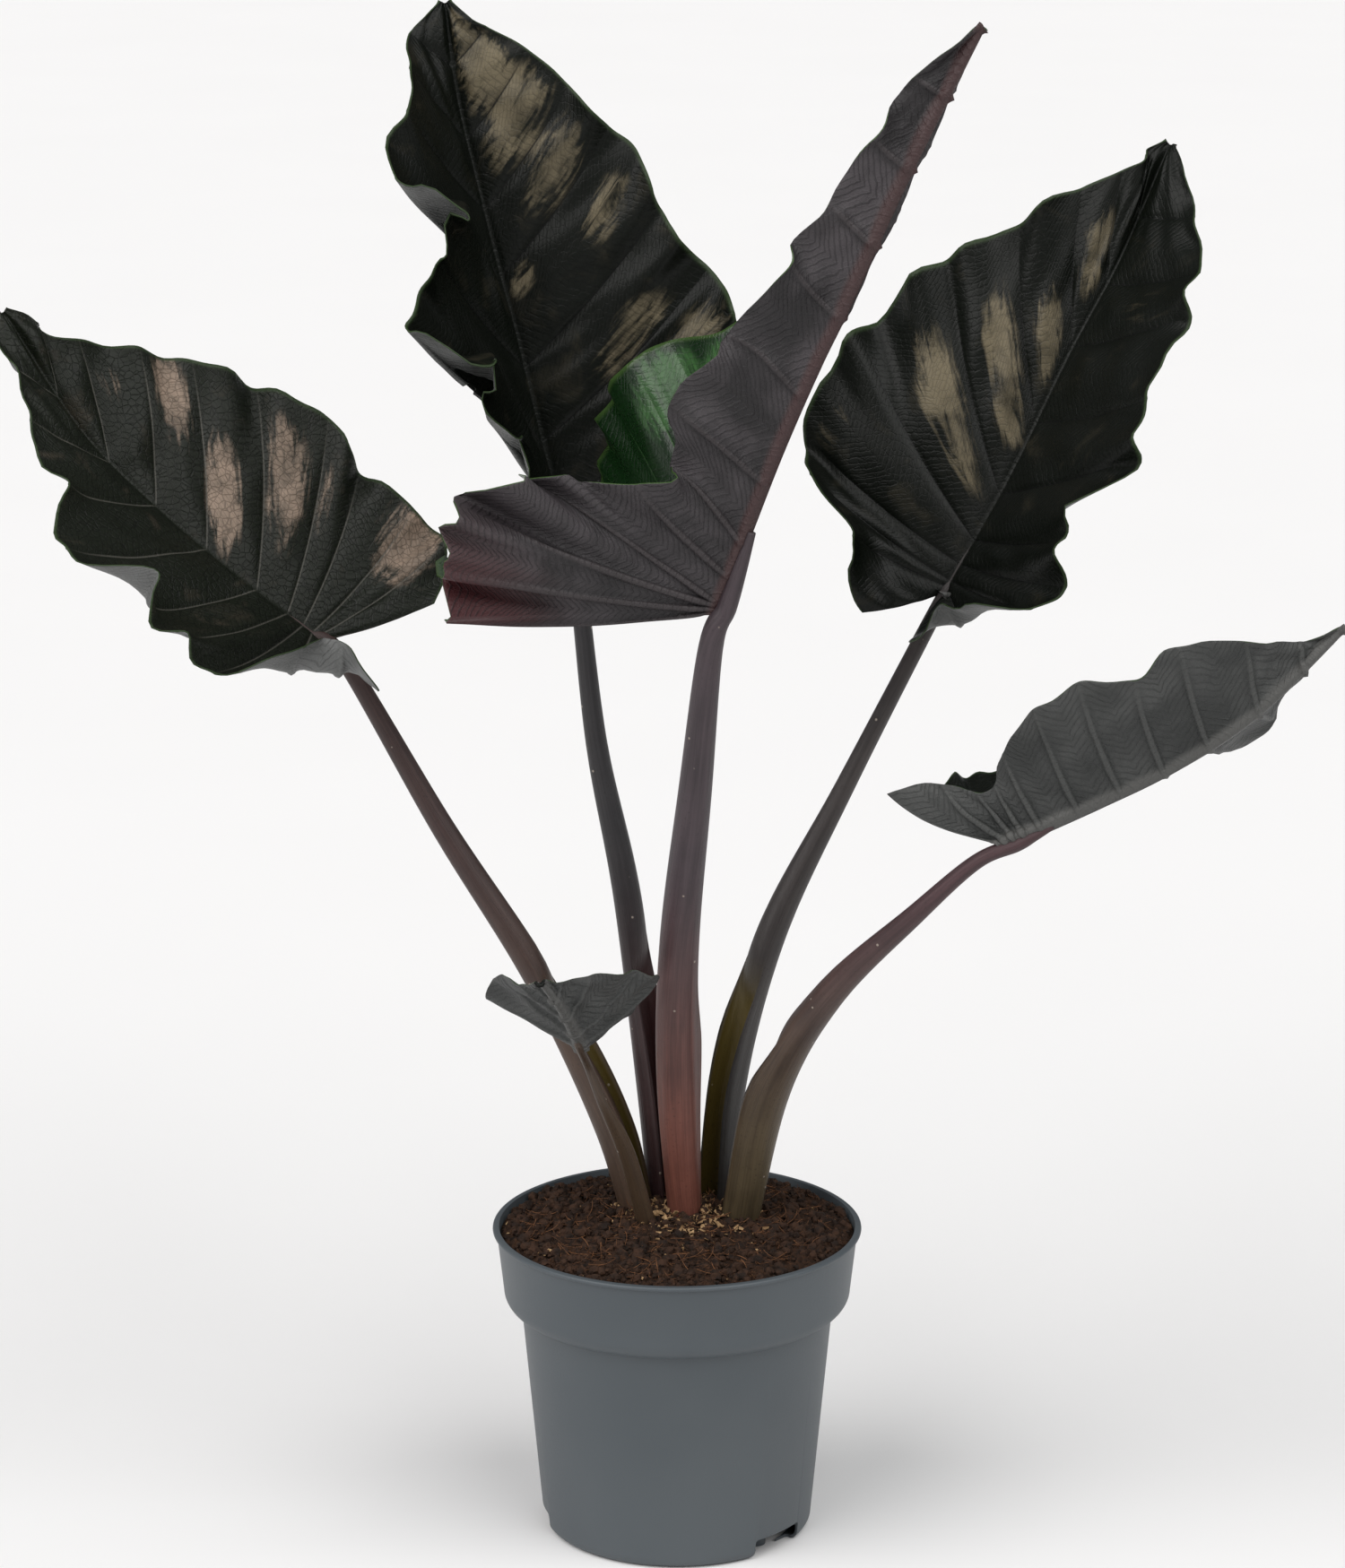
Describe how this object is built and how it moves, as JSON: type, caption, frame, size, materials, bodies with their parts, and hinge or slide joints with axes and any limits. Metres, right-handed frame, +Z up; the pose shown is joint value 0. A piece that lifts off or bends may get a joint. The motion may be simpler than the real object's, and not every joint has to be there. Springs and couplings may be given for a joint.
{
  "type": "potted alocasia",
  "caption": "Potted alocasia with arrow-shaped leaf blades on long sheathed stalks, rising from a corm in a soil-filled round nursery pot.",
  "frame": {"origin": "middle of the flat pad under the pot, on the surface it stands on", "axes": "+Z up, -Y towards the front, where the smallest leaf and the widest undersides show, +X to the right seen from the front"},
  "size_m": [0.6053, 0.2274, 0.6996],
  "materials": {
    "pot_plastic": "moulded matte blue-grey plastic",
    "soil": "damp dark peat with coir fibres and tan bark chips",
    "corm_fibre": "dry brown fibrous skin",
    "petiole_skin": "satin purple-brown skin with fine pale specks and olive sheath linings",
    "blade_skin": "satin near-black green upper side with bronze sheen, grey-purple underside"
  },
  "bodies": {
    "root": {"pot": "pot_plastic", "soil": "soil", "corm": "corm_fibre", "petiole_left": "petiole_skin", "blade_left": "blade_skin", "petiole_back": "petiole_skin", "blade_back": "blade_skin", "petiole_right": "petiole_skin", "blade_right": "blade_skin", "petiole_front": "petiole_skin", "blade_front": "blade_skin", "petiole_low_right": "petiole_skin", "blade_low_right": "blade_skin", "petiole_small": "petiole_skin", "blade_small": "blade_skin"}
  },
  "joints": []
}
